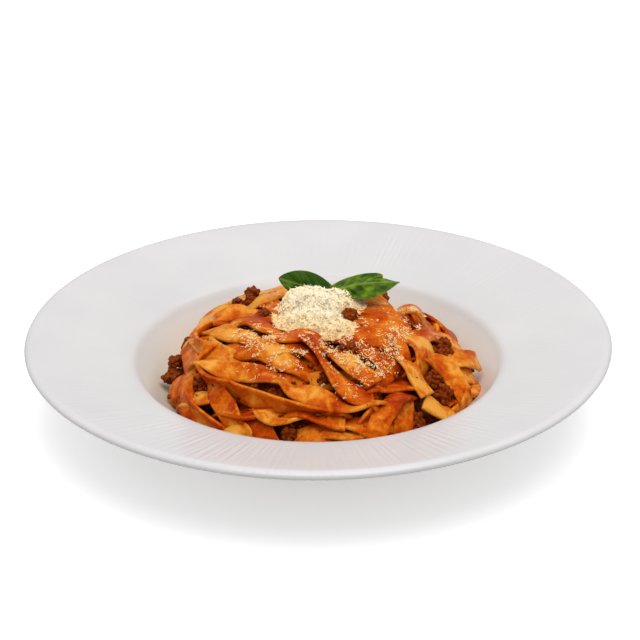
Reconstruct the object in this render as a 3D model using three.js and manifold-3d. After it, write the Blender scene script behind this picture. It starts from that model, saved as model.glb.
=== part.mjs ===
// Fettuccine al ragu in a wide-rimmed pasta plate: ribbons of pasta heaped in the well, lumps of
// minced meat among them, a heap of grated cheese on top and three basil leaves behind it.
// Millimetres, +Z up. The origin is on the axis of the plate, on the surface that its foot stands on,
// and -Y is the side that the plate is served from.

import * as THREE from "three";
import { LoftGeometry } from "three/addons/geometries/LoftGeometry.js";
import { mergeVertices } from "three/addons/utils/BufferGeometryUtils.js";
import Module from "manifold-3d";

const wasm = await Module();
wasm.setup();

// ---- Driving dimensions ----

const GAP = 0.3; // left between pieces that touch

const PLATE = {
  radius: 135, // outermost circle of the lip
  height: 44, // crest of the lip
  lip: 5.6, // thickness at the lip
  wall: 4.4, // thickness of the well's wall and floor
  edgeRadius: 87, // where the rim turns down into the well
  edgeHeight: 32.4,
  edgeRound: 4.5,
  floorRadius: 46, // where the well's floor starts to rise
  floorHeight: 8,
  footRadius: 58,
  footWidth: 4,
  footHeight: 3,
  steps: 48,
};

const HEAP = {
  centre: new THREE.Vector2(1, 0),
  radius: 74, // of the heap where it meets the well's wall
  base: 17, // height of that meeting circle
  dome: 35, // height of the dome above it
  power: 1.15, // above 1 the shoulders fall away faster than an ellipse's
  sunk: 3, // how far under that dome the pasta between the topmost ribbons lies
};

const RIBBON = { width: 9, thickness: 2.4, step: 22 };

const CHEESE = { at: [-1, 1.5, 54.5], size: [41, 36, 20] };

// ---- Solids from three.js geometry, and back ----

function solidOf(geometry) {
  const bare = new THREE.BufferGeometry().setAttribute("position", geometry.attributes.position);
  bare.setIndex(geometry.index);
  const merged = mergeVertices(bare, 1e-4);
  const made = new wasm.Manifold(
    new wasm.Mesh({
      numProp: 3,
      vertProperties: new Float32Array(merged.attributes.position.array),
      triVerts: new Uint32Array(merged.index.array),
    }),
  );
  if (made.volume() <= 0) throw new Error("a geometry faces inwards");
  return made;
}

function geometryOf(solid) {
  const bodies = solid.decompose().sort((a, b) => b.volume() - a.volume());
  const mesh = bodies[0].getMesh();
  const geometry = new THREE.BufferGeometry();
  geometry.setAttribute("position", new THREE.BufferAttribute(mesh.vertProperties, 3));
  geometry.setIndex(new THREE.BufferAttribute(mesh.triVerts, 1));
  geometry.computeVertexNormals();
  return geometry;
}

// A profile of [radius, height] pairs turned about +Z. It runs up the outside and back to the axis.
function turned(profile, steps) {
  const points = profile.map(([radius, height]) => new THREE.Vector2(radius, height));
  return new THREE.LatheGeometry(points, steps).rotateX(Math.PI / 2);
}

// ---- Plate ----

// The top of the plate from the axis outwards: flat floor, a wall that steepens to the edge, a
// rounded edge, and a rim that rises to the lip.
function plateTop(offset = 0, rows = 6) {
  const { edgeRadius, edgeHeight, edgeRound, floorRadius, floorHeight } = PLATE;
  const wallRadius = edgeRadius - edgeRound;
  const wallHeight = edgeHeight - edgeRound * 0.9;
  const points = [[0, floorHeight + offset]];
  for (let i = 0; i <= rows; i++) {
    const turn = (i / rows) * THREE.MathUtils.degToRad(72);
    const share = [Math.sin(turn) / Math.sin(THREE.MathUtils.degToRad(72)),
      (1 - Math.cos(turn)) / (1 - Math.cos(THREE.MathUtils.degToRad(72)))];
    points.push([
      floorRadius + (wallRadius - floorRadius) * share[0] - offset * Math.sin(turn),
      floorHeight + (wallHeight - floorHeight) * share[1] + offset * Math.cos(turn),
    ]);
  }
  points.push([edgeRadius - edgeRound * 0.45 - offset, edgeHeight - edgeRound * 0.28]);
  points.push([edgeRadius - offset * 0.5, edgeHeight + offset]);
  return points;
}

function plateProfile() {
  const { radius, height, lip, wall, edgeRadius, edgeHeight, floorRadius, floorHeight } = PLATE;
  const { footRadius, footWidth, footHeight } = PLATE;
  const crest = radius - lip * 0.6;
  const outside = [
    [0, footHeight],
    [footRadius - footWidth, footHeight],
    [footRadius - footWidth + 0.8, 0],
    [footRadius - 0.8, 0],
    [footRadius + 0.4, footHeight * 0.8],
    [(footRadius + edgeRadius) * 0.5 + 1, floorHeight + 1.5],
    [edgeRadius - 6, edgeHeight - wall * 3.2],
    [edgeRadius - 0.5, edgeHeight - wall * 1.6],
    [edgeRadius + 6, edgeHeight - wall * 0.85],
    [(edgeRadius + crest) * 0.5 + 3, (edgeHeight + height) * 0.5 - wall * 0.95],
    [radius - lip * 0.35, height - lip],
    [radius, height - lip * 0.5],
    [radius - lip * 0.2, height - lip * 0.12],
    [crest, height],
  ];
  const rimMiddle = [(edgeRadius + crest) * 0.5, edgeHeight + (height - edgeHeight) * 0.46];
  return [...outside, rimMiddle, ...plateTop().reverse()];
}

// ---- The heap's own coordinates: azimuth 0 faces -Y and grows towards +X, up is 0 at the wall and
// 1 at the top of the dome, and lift is the distance off the dome ----

function heapProfile(up) {
  const angle = (up * Math.PI) / 2;
  return [HEAP.radius * Math.cos(angle), HEAP.base + HEAP.dome * Math.sin(angle) ** HEAP.power];
}

function heapNormal(azimuth, up) {
  const step = 0.01;
  const [r0, z0] = heapProfile(Math.max(up - step, 0));
  const [r1, z1] = heapProfile(Math.min(up + step, 1));
  const a = THREE.MathUtils.degToRad(azimuth);
  const slope = new THREE.Vector2(z1 - z0, r0 - r1).normalize();
  return new THREE.Vector3(slope.x * Math.sin(a), -slope.x * Math.cos(a), slope.y);
}

function heapPoint(azimuth, up, lift = 0) {
  const [r, z] = heapProfile(up);
  const a = THREE.MathUtils.degToRad(azimuth);
  return new THREE.Vector3(HEAP.centre.x + r * Math.sin(a), HEAP.centre.y - r * Math.cos(a), z)
    .addScaledVector(heapNormal(azimuth, up), lift);
}

// ---- Pasta ----

// Each ribbon runs over the dome from one place to another: [azimuth, up] at its start and end, bow
// is how far its middle strays upwards, lift is how high it rides, and lean turns its face about its
// own run.
const RIBBONS = [
  { from: [-76, 0.68], to: [-93, 0.48], bow: 0, lift: -0.2, lean: 15 },
  { from: [-93, 0.47], to: [24, 0.29], bow: 0.04, lift: 0, lean: 25 },
  { from: [-66, 0.45], to: [-15, 0.49], bow: 0.02, lift: 2.2, lean: 0 },
  { from: [-15, 0.48], to: [20, 0.39], bow: 0, lift: 1.8, lean: -10 },
  { from: [-76, 0.53], to: [-28, 0.66], bow: 0, lift: -0.2, lean: 0 },
  { from: [-36, 0.68], to: [6, 0.54], bow: 0, lift: -0.2, lean: 0 },
  { from: [-50, 0.74], to: [6, 0.86], bow: -0.02, lift: -0.6, lean: 0 },
  { from: [-98, 0.5], to: [-120, 0.78], bow: 0, lift: 0.2, lean: 20 },
  { from: [-110, 0.44], to: [-134, 0.55], bow: 0, lift: 0.2, lean: 20 },
  { from: [-88, 0.46], to: [-76, 0.26], bow: 0, lift: -0.6, lean: 0 },
  { from: [-62, 0.2], to: [-30, 0.08], bow: 0.02, lift: -0.6, lean: 0 },
  { from: [-50, 0.42], to: [-34, 0.23], bow: 0, lift: 0.2, lean: 0 },
  { from: [-26, 0.31], to: [4, 0.31], bow: -0.01, lift: -0.6, lean: 0 },
  { from: [-33, 0.22], to: [-10, 0.1], bow: 0.01, lift: 0, lean: 0 },
  { from: [2, 0.7], to: [18, 0.43], bow: 0, lift: 0.4, lean: 20 },
  { from: [5, 0.7], to: [26, 0.47], bow: 0, lift: 2.2, lean: -15 },
  { from: [88, 0.86], to: [60, 0.46], bow: 0, lift: 0.8, lean: 10 },
  { from: [62, 0.66], to: [27, 0.52], bow: 0, lift: 0.4, lean: 0 },
  { from: [47, 0.52], to: [46, 0.32], bow: 0, lift: 1, lean: 10 },
  { from: [70, 0.46], to: [66, 0.16], bow: 0, lift: 0.4, lean: 10 },
  { from: [86, 0.42], to: [91, 0.2], bow: 0, lift: 1.2, lean: 0 },
  { from: [44, 0.32], to: [60, 0.12], bow: -0.02, lift: -0.2, lean: 0 },
  { from: [104, 0.58], to: [94, 0.22], bow: 0, lift: -0.2, lean: 0 },
  { from: [15, 0.1], to: [36, 0.4], bow: 0, lift: 0.4, lean: -10 },
  { from: [29, 0.08], to: [35, 0.36], bow: 0, lift: 0.2, lean: 20 },
  { from: [104, 0.5], to: [134, 0.5], bow: 0.06, lift: 1.8, lean: 30 },
];

// The side away from the diner: the same kind of ribbons, spread round by the golden angle.
function farRibbons() {
  const made = [];
  for (let i = 0; i < 10; i++) {
    const azimuth = 116 + 128 * ((i * 0.618) % 1);
    const up = 0.14 + 0.6 * ((i * 0.382 + 0.2) % 1);
    const along = i % 3 === 2 ? 8 : 38 + 14 * up;
    const rise = i % 3 === 2 ? -0.26 * (up > 0.4 ? 1 : -1) : 0.12 * (i % 2 ? 1 : -1);
    const to = [azimuth + along * (i % 2 ? 1 : -1), THREE.MathUtils.clamp(up + rise, 0.08, 0.85)];
    made.push({ from: [azimuth, up], to, bow: 0.02, lift: (i % 4) * 0.6 - 0.8, lean: 14 * ((i % 3) - 1) });
  }
  return made;
}

function ribbonSolid({ from, to, bow, lift, lean }) {
  const place = (t) => [
    THREE.MathUtils.lerp(from[0], to[0], t),
    THREE.MathUtils.lerp(from[1], to[1], t) + bow * Math.sin(Math.PI * t),
  ];
  const length = heapPoint(...from).distanceTo(heapPoint(...to));
  const steps = Math.max(2, Math.round(length / RIBBON.step));
  const sections = [];
  for (let i = 0; i <= steps; i++) {
    const t = i / steps;
    const [azimuth, up] = place(t);
    const ahead = heapPoint(...place(t + 0.02)).sub(heapPoint(...place(t - 0.02))).normalize();
    const normal = heapNormal(azimuth, up);
    const side = ahead.clone().cross(normal).normalize();
    side.applyAxisAngle(ahead, THREE.MathUtils.degToRad(lean));
    const face = side.clone().cross(ahead).normalize();
    const centre = heapPoint(azimuth, up, lift);
    sections.push([[-1, -1], [-1, 1], [1, 1], [1, -1]].map(([across, through]) =>
      centre.clone()
        .addScaledVector(side, (across * RIBBON.width) / 2)
        .addScaledVector(face, (through * RIBBON.thickness) / 2)));
  }
  return solidOf(new LoftGeometry(sections, { capStart: true, capEnd: true }));
}

// The dome under the ribbons, with low swells where more of them lie beneath.
function domeSolid() {
  const around = 26;
  const rings = 5;
  const profile = [[0, PLATE.floorHeight]];
  profile.push([HEAP.radius + 6, PLATE.floorHeight]);
  for (let i = 0; i <= rings; i++) {
    const [r, z] = heapProfile(i / rings);
    profile.push([r - (HEAP.sunk * r) / HEAP.radius, z - HEAP.sunk * (i / rings)]);
  }
  profile[2][0] = HEAP.radius + 2;
  profile[profile.length - 1][0] = 0;
  const geometry = turned(profile, around);
  const position = geometry.attributes.position;
  const point = new THREE.Vector3();
  for (let i = 0; i < position.count; i++) {
    point.fromBufferAttribute(position, i);
    const azimuth = Math.atan2(point.x, -point.y);
    const high = (point.z - HEAP.base) / HEAP.dome;
    const swell = high > 0.02 && high < 0.98 ? 1.1 * Math.sin(5 * azimuth + 7 * high) : 0;
    const far = Math.hypot(point.x, point.y) || 1;
    point.x *= 1 + swell / far;
    point.y *= 1 + swell / far;
    position.setXYZ(i, point.x + HEAP.centre.x, point.y + HEAP.centre.y, point.z + swell * 0.5);
  }
  return solidOf(geometry);
}

// The space inside the well, less the gap, with room above it for the heap.
function wellSpace() {
  const top = 90;
  const wall = plateTop(GAP, 3);
  return solidOf(turned([...wall, [PLATE.edgeRadius + 20, top], [0, top]], 28));
}

// ---- Lumps: meat and cheese ----

// A ball squashed to the given sizes, its skin pushed in and out by crossed waves.
function lumpGeometry([x, y, z], detail, roughness, seed) {
  const geometry = new THREE.IcosahedronGeometry(1, detail);
  const position = geometry.attributes.position;
  const point = new THREE.Vector3();
  for (let i = 0; i < position.count; i++) {
    point.fromBufferAttribute(position, i);
    const wave = Math.sin(3.1 * point.x + seed) * Math.cos(2.7 * point.y - seed)
      + 0.6 * Math.sin(5.3 * point.z + 2 * seed) * Math.cos(4.1 * point.x + seed);
    point.multiplyScalar(1 + roughness * wave);
    position.setXYZ(i, point.x * x, point.y * y, point.z * z);
  }
  return geometry;
}

function lumpSolid(place, sizes, detail, roughness, seed, turn, extra = 0) {
  const grown = sizes.map((size) => size / 2 + extra);
  const geometry = lumpGeometry(grown, detail, roughness, seed);
  geometry.rotateY(turn).rotateZ(turn * 1.7);
  geometry.translate(place.x, place.y, place.z);
  return solidOf(geometry);
}

// Lumps of mince that show among the ribbons: azimuth and up on the dome, lift, and a size.
const MEAT = [
  { at: [-84, 0.2], lift: -3, size: 13 },
  { at: [-70, 0.33], lift: -2.5, size: 9 },
  { at: [-134, 0.6], lift: 3.5, size: 10 },
  { at: [-128, 0.62], lift: 2, size: 9 },
  { at: [-105, 0.77], lift: -1, size: 10 },
  { at: [-21, 0.45], lift: -3, size: 13 },
  { at: [-46, 0.12], lift: -2, size: 11 },
  { at: [-12, 0.2], lift: -3, size: 12 },
  { at: [26, 0.72], lift: -1, size: 10 },
  { at: [80, 0.44], lift: -1.5, size: 13 },
  { at: [58, 0.38], lift: -2, size: 13 },
  { at: [56, 0.26], lift: -1.5, size: 14 },
  { at: [37, 0.21], lift: -2, size: 15 },
  { at: [152, 0.4], lift: -1, size: 13 },
  { at: [-158, 0.26], lift: -1.5, size: 13 },
  { at: [196, 0.56], lift: -1, size: 11 },
];

function meatSolid({ at, lift, size }, index, extra = 0) {
  const place = heapPoint(...at, lift);
  return lumpSolid(place, [size, size * 0.86, size * 0.78], 1, 0.1, 1.3 * index, 0.7 * index, extra);
}

function cheeseSolid(extra = 0) {
  return lumpSolid(new THREE.Vector3(...CHEESE.at), CHEESE.size, 2, 0.045, 2.1, 0, extra);
}

// ---- Basil ----

// Each leaf runs from its stem end to its tip. Across is the way that its blade faces along its
// width, fold turns its two halves up about the midrib, and sag drops its middle.
const LEAVES = [
  {
    name: "basil_leaf_left", from: [9, 14, 58], to: [-18, 14, 64.5],
    across: [0, -0.6, -0.8], width: 15, fold: 18, sag: 0.5,
  },
  {
    name: "basil_leaf_back", from: [6, 15, 59.5], to: [30, 17, 64.5],
    across: [0, -0.5, -0.87], width: 10, fold: 14, sag: -1,
  },
  {
    name: "basil_leaf_right", from: [5, 9, 60], to: [38, 10, 63.5],
    across: [0, -0.94, -0.34], width: 15, fold: 16, sag: 1.5,
  },
];

const LEAF_THICKNESS = 0.8;

function leafSections({ from, to, across, width, fold, sag }, extra) {
  const start = new THREE.Vector3(...from);
  const along = new THREE.Vector3(...to).sub(start);
  const length = along.length();
  along.normalize();
  const side = new THREE.Vector3(...across).projectOnPlane(along).normalize();
  const face = along.clone().cross(side);
  const steps = 8;
  const sections = [];
  for (let i = 0; i <= steps; i++) {
    const t = i / steps;
    const half = (width / 2) * Math.max(0.06, Math.sin(Math.PI * t ** 0.8) ** 0.75) + extra;
    const edge = Math.tan(THREE.MathUtils.degToRad(fold)) * half;
    const middle = -sag * Math.sin(Math.PI * t);
    const upper = [[-half, middle + edge], [0, middle], [half, middle + edge]];
    const lower = upper.map(([s, z]) => [s, z - LEAF_THICKNESS - extra]).reverse();
    const ring = [...upper.map(([s, z]) => [s, z + extra]), ...lower].reverse();
    const centre = start.clone().addScaledVector(along, -extra + t * (length + 2 * extra));
    sections.push(ring.map(([s, z]) =>
      centre.clone().addScaledVector(side, s).addScaledVector(face, z)));
  }
  return sections;
}

function leafSolid(leaf, extra = 0) {
  const loft = new LoftGeometry(leafSections(leaf, extra), { capStart: true, capEnd: true });
  return solidOf(loft);
}

// ---- Materials ----

const finish = (color, roughness) => new THREE.MeshStandardMaterial({ color, roughness, metalness: 0 });
const porcelain = finish("#e6e4e3", 0.3);
const pasta = finish("#d98a34", 0.4);
const mince = finish("#7a3a1c", 0.6);
const hardCheese = finish("#f3e5c4", 0.7);
const basil = finish("#45651c", 0.45);

// ---- Assembly ----

const object = new THREE.Group();

function add(name, solid, material) {
  const mesh = new THREE.Mesh(geometryOf(solid), material);
  mesh.name = name;
  object.add(mesh);
}

const union = (solids) => solids.reduce((sum, solid) => sum.add(solid));

add("plate", solidOf(turned(plateProfile(), PLATE.steps)), porcelain);

const space = wellSpace();
const leavesGrown = LEAVES.map((leaf) => leafSolid(leaf, GAP));
const cheeseGrown = cheeseSolid(GAP);

let taken = union([cheeseGrown, ...leavesGrown]);
MEAT.forEach((lump, index) => {
  const name = `meat_${String(index + 1).padStart(2, "0")}`;
  add(name, meatSolid(lump, index).intersect(space).subtract(taken), mince);
  taken = taken.add(meatSolid(lump, index, GAP));
});

const ribbons = [...RIBBONS, ...farRibbons()].map(ribbonSolid);
add("fettuccine", union([domeSolid(), ...ribbons]).intersect(space).subtract(taken), pasta);

add("grated_cheese", cheeseSolid().subtract(union(leavesGrown)), hardCheese);

LEAVES.forEach((leaf, index) => {
  let solid = leafSolid(leaf);
  leavesGrown.slice(0, index).forEach((other) => (solid = solid.subtract(other)));
  add(leaf.name, solid, basil);
});

export default object;
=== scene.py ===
"""Fettuccine al ragu on a wide-rimmed porcelain plate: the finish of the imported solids.

The plate gets its fluted, glazed rim, the pasta heap its separate ribbons over a smaller core of
sauce, and the meat, cheese and basil their real surfaces. Shapes are worked out in millimetres and
made in metres. Every shape is a function of two parameters on a grid, as whole arrays.
"""

import bpy
import numpy as np
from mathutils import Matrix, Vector


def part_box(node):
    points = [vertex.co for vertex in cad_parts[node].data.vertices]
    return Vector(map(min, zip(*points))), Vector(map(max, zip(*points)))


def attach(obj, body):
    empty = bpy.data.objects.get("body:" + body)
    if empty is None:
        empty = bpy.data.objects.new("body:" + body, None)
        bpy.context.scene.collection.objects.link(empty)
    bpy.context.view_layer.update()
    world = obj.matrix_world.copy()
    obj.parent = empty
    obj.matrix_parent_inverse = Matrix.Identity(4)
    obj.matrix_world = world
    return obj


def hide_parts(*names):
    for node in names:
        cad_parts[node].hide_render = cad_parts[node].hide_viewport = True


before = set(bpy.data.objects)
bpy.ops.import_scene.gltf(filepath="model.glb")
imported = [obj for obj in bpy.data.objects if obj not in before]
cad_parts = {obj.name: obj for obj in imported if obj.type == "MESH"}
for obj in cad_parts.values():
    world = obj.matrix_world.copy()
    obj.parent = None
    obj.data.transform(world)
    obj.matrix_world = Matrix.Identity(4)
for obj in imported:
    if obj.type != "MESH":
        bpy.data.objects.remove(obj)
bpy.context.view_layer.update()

MM = 0.001


def box_mm(node):
    """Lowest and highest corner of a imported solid, in millimetres."""
    low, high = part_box(node)
    return np.array(low) / MM, np.array(high) / MM


# ---- Named sizes, in millimetres ----

PLATE_RADIUS, _, PLATE_HEIGHT = box_mm("plate")[1]
PLATE_SIDES = 1440  # points round it
EDGE_RADIUS = 87.0  # where the rim turns down into the well
EDGE_HEIGHT = 32.4
FLOOR_HEIGHT = 8.0  # of the well's flat middle
FOOT_RADIUS = 58.0
LIP = 4.2  # thickness at the lip
BOUNCE_TINT_RADIUS = 66.0  # the painted warm reflection of the sauce on the well is full from here inwards
FLUTES = 232  # grooves pressed round the rim
FLUTE_DEPTH = 0.2

HEAP_CENTRE = np.array([1.0, 0.0])
HEAP_RADIUS = 74.0  # of the heap where it meets the well's wall
HEAP_BASE = 17.0  # height of that circle
HEAP_DOME = 35.0  # height of the dome above it
HEAP_POWER = 1.15  # above 1 the shoulders fall away faster than an ellipse's
MAP_RADIUS = 90.0  # of the flat map of the dome: its length from wall to top

RIBBON_WIDTH = 9.8
RIBBON_THICKNESS = 1.9
CORE_LIFT = -7.5  # the sauce core lies this far under the dome
CORE_BUMPS = 0.9  # height of its broad bumps


# ---- Materials ----


def linear(hexed):
    """sRGB hex to linear red, green, blue and alpha."""
    values = [int(hexed[i : i + 2], 16) / 255 for i in (1, 3, 5)]
    return [v / 12.92 if v <= 0.04045 else ((v + 0.055) / 1.055) ** 2.4 for v in values] + [1.0]


def add(tree, kind, settings=None, **links):
    """Adds a node. A setting is an attribute or an input's value, and a link an input's source socket.
    An input is named by its name in lower case with _ for a space, or by in0, in1 and so on. A colour
    is a hex string, and a ramp's stops are pairs of place and colour."""
    node = tree.nodes.new("ShaderNode" + kind)

    def socket(name):
        if name.startswith("in") and name[2:].isdigit():
            return node.inputs[int(name[2:])]
        return next(s for s in node.inputs if s.name.lower().replace(" ", "_") == name and s.enabled)

    for name, value in (settings or {}).items():
        if isinstance(value, str) and value.startswith("#"):
            value = linear(value)
        if name == "stops":
            elements = node.color_ramp.elements
            while len(elements) < len(value):
                elements.new(0.5)
            for element, (place, colour) in zip(elements, value):
                element.position = place
                element.color = linear(colour)
        elif hasattr(node, name):
            setattr(node, name, value)
        else:
            socket(name).default_value = value
    for name, source in links.items():
        tree.links.new(source.outputs[0] if hasattr(source, "outputs") else source, socket(name))
    return node


def new_material(name):
    """An empty material, its tree, and its Object coordinates, which are in metres."""
    material = bpy.data.materials.new(name)
    material.use_nodes = True
    tree = material.node_tree
    tree.nodes.clear()
    return material, tree, add(tree, "TexCoord").outputs["Object"]


def per_mm(size):
    """Scale of a pattern whose features are size millimetres across."""
    return 1 / (size * MM)


def finish(material, colour, surface, height=None, depth=0.0, **links):
    """Gives a material its shader: the colour, the surface's own settings, and a relief that follows
    the height and is depth millimetres deep."""
    tree = material.node_tree
    if height is not None:
        relief = {"strength": 1.0, "distance": depth * MM}
        links["normal"] = add(tree, "Bump", relief, height=height)
    shader = add(tree, "BsdfPrincipled", surface, base_color=colour, **links)
    add(tree, "OutputMaterial", surface=shader)
    return material


def glazed_porcelain():
    """Hard porcelain under a clear glaze: a cool white body that is very slightly uneven, tinted warm
    in the well as a painted reflection of the sauce's bounce light, and a glossy skin that is wavy over
    a few millimetres."""
    material, tree, where = new_material("glazed_porcelain")
    cloud = add(tree, "TexNoise", {"scale": per_mm(40), "detail": 2.0}, vector=where)
    body = add(tree, "ValToRGB", {"stops": [(0.3, "#cbc9ca"), (0.7, "#d0cece")]}, in0=cloud)
    level = add(tree, "VectorMath", {"operation": "MULTIPLY", "in1": (1, 1, 0)}, in0=where)
    radius = add(tree, "VectorMath", {"operation": "LENGTH"}, in0=level).outputs["Value"]
    # Painted reflection: the well is tinted warm, standing in for light bounced off the orange sauce.
    well = {"from_min": EDGE_RADIUS * MM, "from_max": BOUNCE_TINT_RADIUS * MM}
    warm_tint = add(tree, "MapRange", well, value=radius)
    body = add(tree, "Mix", {"data_type": "RGBA", "in7": "#d6c9ae"}, in0=warm_tint, in6=body).outputs[2]
    skin = add(tree, "TexNoise", {"scale": per_mm(3.0), "detail": 2.0}, vector=where)
    glaze = {"roughness": 0.2, "ior": 1.5, "specular_ior_level": 0.3}
    return finish(material, body, glaze, skin, 0.03)


def sauced_pasta():
    """Cooked egg pasta in oily ragu: pale yellow dough, stained orange by tomato and oil, with redder
    smears where the sauce clings and a few dark specks of meat. Its film of oil is uneven, so it
    shines in patches, and light passes a little into it."""
    material, tree, where = new_material("sauced_egg_pasta")
    sauce = add(tree, "Attribute", {"attribute_name": "sauce"}).outputs["Fac"]
    blots = {"scale": per_mm(8), "detail": 3.0, "distortion": 0.8}
    broad = add(tree, "TexNoise", blots, vector=where).outputs["Fac"]
    streaks = {"scale": per_mm(1.6), "detail": 3.0, "roughness": 0.6}
    fine = add(tree, "TexNoise", streaks, vector=where).outputs["Fac"]
    smear = add(tree, "Math", {"operation": "MULTIPLY_ADD", "in1": 1.5, "in2": -0.75}, in0=broad)
    grain = add(tree, "Math", {"operation": "MULTIPLY_ADD", "in1": 0.6, "in2": -0.3}, in0=fine)
    uneven = add(tree, "Math", {"operation": "ADD"}, in0=smear, in1=grain)
    amount = add(tree, "Math", {"operation": "ADD", "use_clamp": True}, in0=sauce, in1=uneven)
    dough_to_sauce = [
        (0.0, "#dd9839"), (0.25, "#cd7017"), (0.5, "#ba4c06"), (0.75, "#a03203"), (1.0, "#862604"),
    ]
    stain = add(tree, "ValToRGB", {"stops": dough_to_sauce}, in0=amount)
    speck = add(tree, "TexVoronoi", {"scale": per_mm(2.4)}, vector=where).outputs["Distance"]
    dot = add(tree, "Math", {"operation": "LESS_THAN", "in1": 0.17}, in0=speck)
    some = add(tree, "Math", {"operation": "GREATER_THAN", "in1": 0.52}, in0=broad)
    dots = add(tree, "Math", {"operation": "MULTIPLY"}, in0=dot, in1=some)
    veil = add(tree, "Math", {"operation": "MULTIPLY", "in1": 0.5}, in0=dots)
    meaty = {"data_type": "RGBA", "in7": "#7d2805"}
    colour = add(tree, "Mix", meaty, in0=veil, in6=stain).outputs[2]
    raised = add(tree, "Math", {"operation": "MULTIPLY_ADD", "in1": 0.5}, in0=dots, in2=fine)
    gloss = add(tree, "Math", {"operation": "MULTIPLY_ADD", "in1": 0.5, "in2": 0.13}, in0=broad)
    film = {"ior": 1.45, "specular_ior_level": 0.16, "specular_tint": "#ffb060"}
    flesh = {
        "subsurface_weight": 0.15,
        "subsurface_radius": (1.0, 0.4, 0.1),
        "subsurface_scale": 2 * MM,
    }
    return finish(material, colour, film | flesh, raised, 0.16, roughness=gloss)


def meaty_sauce():
    """Thick ragu: tomato and fat cooked down dark with fine crumbs of meat, wet on top."""
    material, tree, where = new_material("cooked_down_ragu")
    crumb_noise = {"scale": per_mm(2.6), "detail": 4.0, "roughness": 0.65}
    crumbs = add(tree, "TexNoise", crumb_noise, vector=where)
    dark_to_light = [(0.32, "#4c1204"), (0.5, "#7c2605"), (0.68, "#a84208")]
    colour = add(tree, "ValToRGB", {"stops": dark_to_light}, in0=crumbs)
    wet = {"roughness": 0.35, "ior": 1.45, "specular_ior_level": 0.4}
    return finish(material, colour, wet, crumbs, 1.2)


def browned_mince():
    """Minced meat fried brown: grains a millimetre or two across, paler fat between them, and a thin
    wet film of orange oil."""
    material, tree, where = new_material("browned_minced_meat")
    grain_noise = {"scale": per_mm(1.5), "detail": 4.0, "roughness": 0.65}
    grain = add(tree, "TexNoise", grain_noise, vector=where)
    patch = add(tree, "TexNoise", {"scale": per_mm(6), "detail": 2.0}, vector=where)
    brown_to_fat = [(0.3, "#381304"), (0.46, "#632507"), (0.62, "#833d10"), (0.8, "#a5692c")]
    meat = add(tree, "ValToRGB", {"stops": brown_to_fat}, in0=grain)
    red_to_oil = [(0.3, "#631a03"), (0.6, "#923606"), (0.85, "#b45d16")]
    warm_tint = add(tree, "ValToRGB", {"stops": red_to_oil}, in0=grain)
    colour = add(tree, "Mix", {"data_type": "RGBA"}, in0=patch, in6=meat, in7=warm_tint).outputs[2]
    film = {"roughness": 0.4, "ior": 1.45, "specular_ior_level": 0.35, "specular_tint": "#ffb060"}
    return finish(material, colour, film, grain, 0.6)


def grated_hard_cheese():
    """Hard cheese, grated: dry cream-coloured curls, each a little paler or yellower than the next, and
    yellower still where painted shade stands for the pits between them. Light wanders through the whole
    heap, so each curl is shaded as if it faced the sky more."""
    material, tree, _ = new_material("grated_hard_cheese")
    facing = add(tree, "NewGeometry").outputs["Normal"]
    lifted = add(tree, "VectorMath", {"operation": "ADD", "in1": (-0.1, -0.4, 0.9)}, in0=facing)
    lifted = add(tree, "VectorMath", {"operation": "NORMALIZE"}, in0=lifted)
    tone = add(tree, "Attribute", {"attribute_name": "tone"}).outputs["Fac"]
    stained_and_shaded_to_pale = [(0.0, "#e0a35f"), (0.15, "#f5ca8b"), (0.5, "#ffe8b9"), (1.0, "#fff6dc")]
    colour = add(tree, "ValToRGB", {"stops": stained_and_shaded_to_pale}, in0=tone)
    dry = {"roughness": 0.7, "ior": 1.45, "specular_ior_level": 0.15}
    return finish(material, colour, dry, normal=lifted)


def basil_blade():
    """Fresh basil: a waxy green blade in uneven patches of deeper and paler green, with paler veins,
    midrib and edge. A leaf may be a deeper, cooler green all over."""
    material, tree, where = new_material("fresh_basil_leaf")
    deep = add(tree, "Attribute", {"attribute_name": "deep"}).outputs["Fac"]
    vein = add(tree, "Attribute", {"attribute_name": "vein"}).outputs["Fac"]
    cloud = add(tree, "TexNoise", {"scale": per_mm(5), "detail": 3.0}, vector=where)
    greens = [(0.32, "#1c3402"), (0.5, "#3b5b07"), (0.7, "#6b8714")]
    blade = add(tree, "ValToRGB", {"stops": greens}, in0=cloud)
    for share, tint in ((deep, "#1e421c"), (vein, "#8ba232")):
        blade = add(tree, "Mix", {"data_type": "RGBA", "in7": tint}, in0=share, in6=blade).outputs[2]
    fine = add(tree, "TexNoise", {"scale": per_mm(0.8), "detail": 2.0}, vector=where)
    wax = {"roughness": 0.34, "ior": 1.45, "specular_ior_level": 0.22, "specular_tint": "#e8ff90"}
    return finish(material, blade, wax, fine, 0.05)


# ---- Meshes ----


def grid_faces(rows, columns, wrap_rows=False, wrap_columns=False):
    """The four-sided faces between neighbours on a grid, whose ends meet where it wraps."""
    i = np.arange(rows if wrap_rows else rows - 1)[:, None]
    j = np.arange(columns if wrap_columns else columns - 1)[None, :]
    i_next, j_next = (i + 1) % rows, (j + 1) % columns
    corners = (i * columns + j, i * columns + j_next, i_next * columns + j_next, i_next * columns + j)
    return np.stack([np.broadcast_to(c, (i.size, j.size)).ravel() for c in corners], axis=1)


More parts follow.
